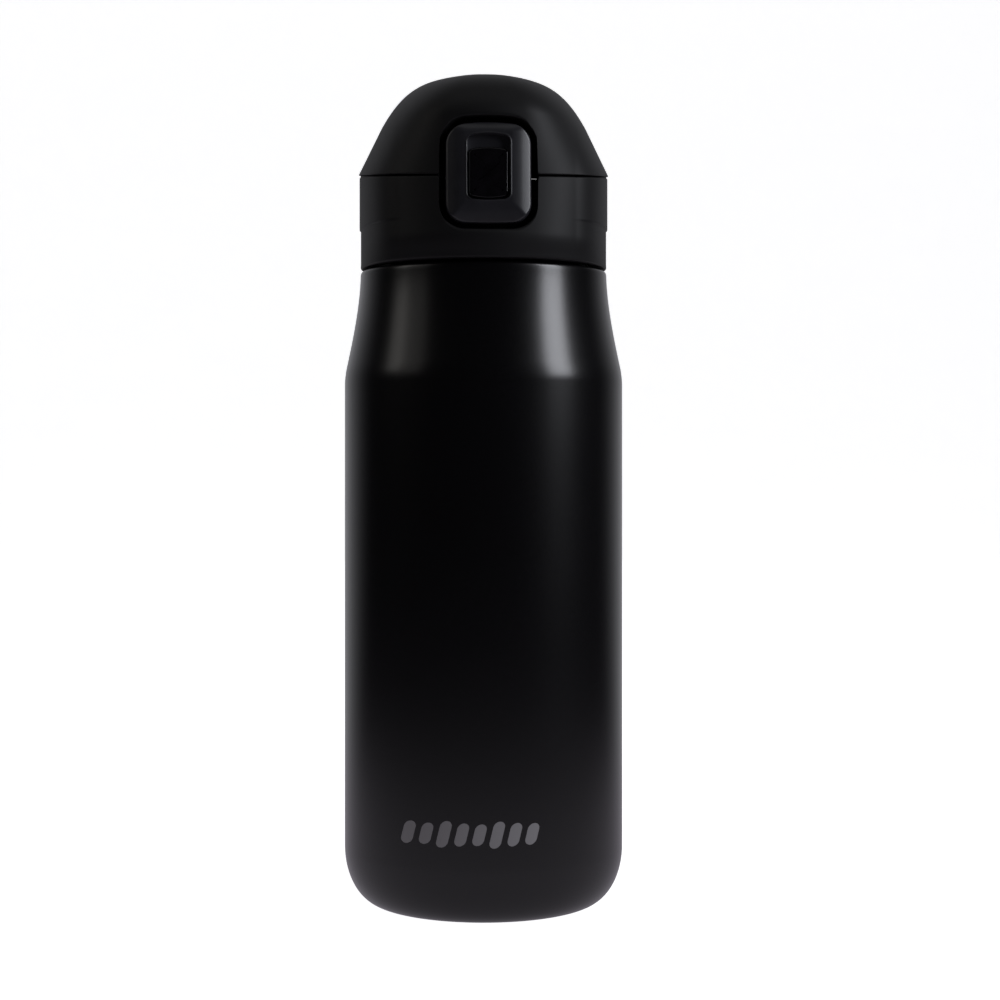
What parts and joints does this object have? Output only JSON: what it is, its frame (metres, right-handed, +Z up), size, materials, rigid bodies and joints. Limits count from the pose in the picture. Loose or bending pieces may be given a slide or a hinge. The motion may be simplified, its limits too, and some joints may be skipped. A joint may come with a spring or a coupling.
{
  "type": "vacuum flask",
  "caption": "Black double-walled steel vacuum flask with a domed push-button flip lid, lock slider, drinking spout and screw-on collar.",
  "frame": {"origin": "centre of the foot, on the surface that the flask stands on", "axes": "+Z up the flask's axis; the push button faces -Y and the lid's hinge is at +Y"},
  "size_m": [0.072, 0.072, 0.2147],
  "materials": {
    "powder_coat": "matte powder coat with a fine grain",
    "vessel_steel": "electropolished stainless steel",
    "base_steel": "matte powder coat",
    "cover_plastic": "matte",
    "seal_solder": "dull",
    "getter_metal": "dull",
    "foil": "bright rolled foil",
    "lid_plastic": "matte moulded plastic with a fine texture",
    "stopper_plastic": "satin moulded plastic",
    "spout_plastic": "satin moulded plastic",
    "silicone": "translucent grey silicone",
    "pin_steel": "bright",
    "spring_steel": "bright drawn wire",
    "button_plastic": "semi-gloss moulded plastic",
    "slider_plastic": "high gloss",
    "bolt_plastic": "natural moulded plastic"
  },
  "bodies": {
    "bottle": {"outer_shell": "powder_coat", "inner_vessel": "vessel_steel", "inner_base": "vessel_steel", "base_plate": "base_steel", "base_cover": "cover_plastic", "vacuum_seal": "seal_solder", "getter": "getter_metal", "heat_foil": "foil"},
    "lid_rise": {"mouth_gasket": "silicone"},
    "collar": {"stopper_body": "stopper_plastic", "collar_shell": "lid_plastic", "spout": "spout_plastic", "spout_gasket": "silicone", "hinge_pin": "pin_steel", "lid_spring": "spring_steel", "button_pin": "pin_steel", "button_spring": "spring_steel"},
    "dome": {"dome_shell": "lid_plastic", "dome_liner": "stopper_plastic", "spout_seal": "silicone", "catch_plate": "pin_steel", "liner_screws": "pin_steel"},
    "button": {"button": "button_plastic"},
    "slider": {"lock_slider": "slider_plastic", "lock_bolt": "bolt_plastic"}
  },
  "joints": [
    {"name": "lid_lift", "type": "slide", "parent": "bottle", "child": "lid_rise", "axis": [0, 0, 1], "range_m": [0, 0.00801]},
    {"name": "lid_turn", "type": "hinge", "parent": "lid_rise", "child": "collar", "pos_m": [0, 0, 0.17], "axis": [0, 0, 1], "range_deg": [0, 720]},
    {"name": "dome_flip", "type": "hinge", "parent": "collar", "child": "dome", "pos_m": [0, 0.0328, 0.18961], "axis": [-1, 0, 0], "range_deg": [0, 115], "deforming": ["lid_spring"]},
    {"name": "button_press", "type": "hinge", "parent": "collar", "child": "button", "pos_m": [0, -0.02672, 0.18354], "axis": [1, 0, 0], "range_deg": [0, 8], "stiffness_Nm_per_rad": 0.05, "springref_deg": -5.73, "deforming": ["button_spring"]},
    {"name": "lock_slide", "type": "slide", "parent": "button", "child": "slider", "axis": [0, 0.0698, 0.9976], "range_m": [0, 0.0029]}
  ],
  "couplings": [
    {"joint": "lid_lift", "follows": "lid_turn", "m_per_rad": 0.00063662}
  ]
}
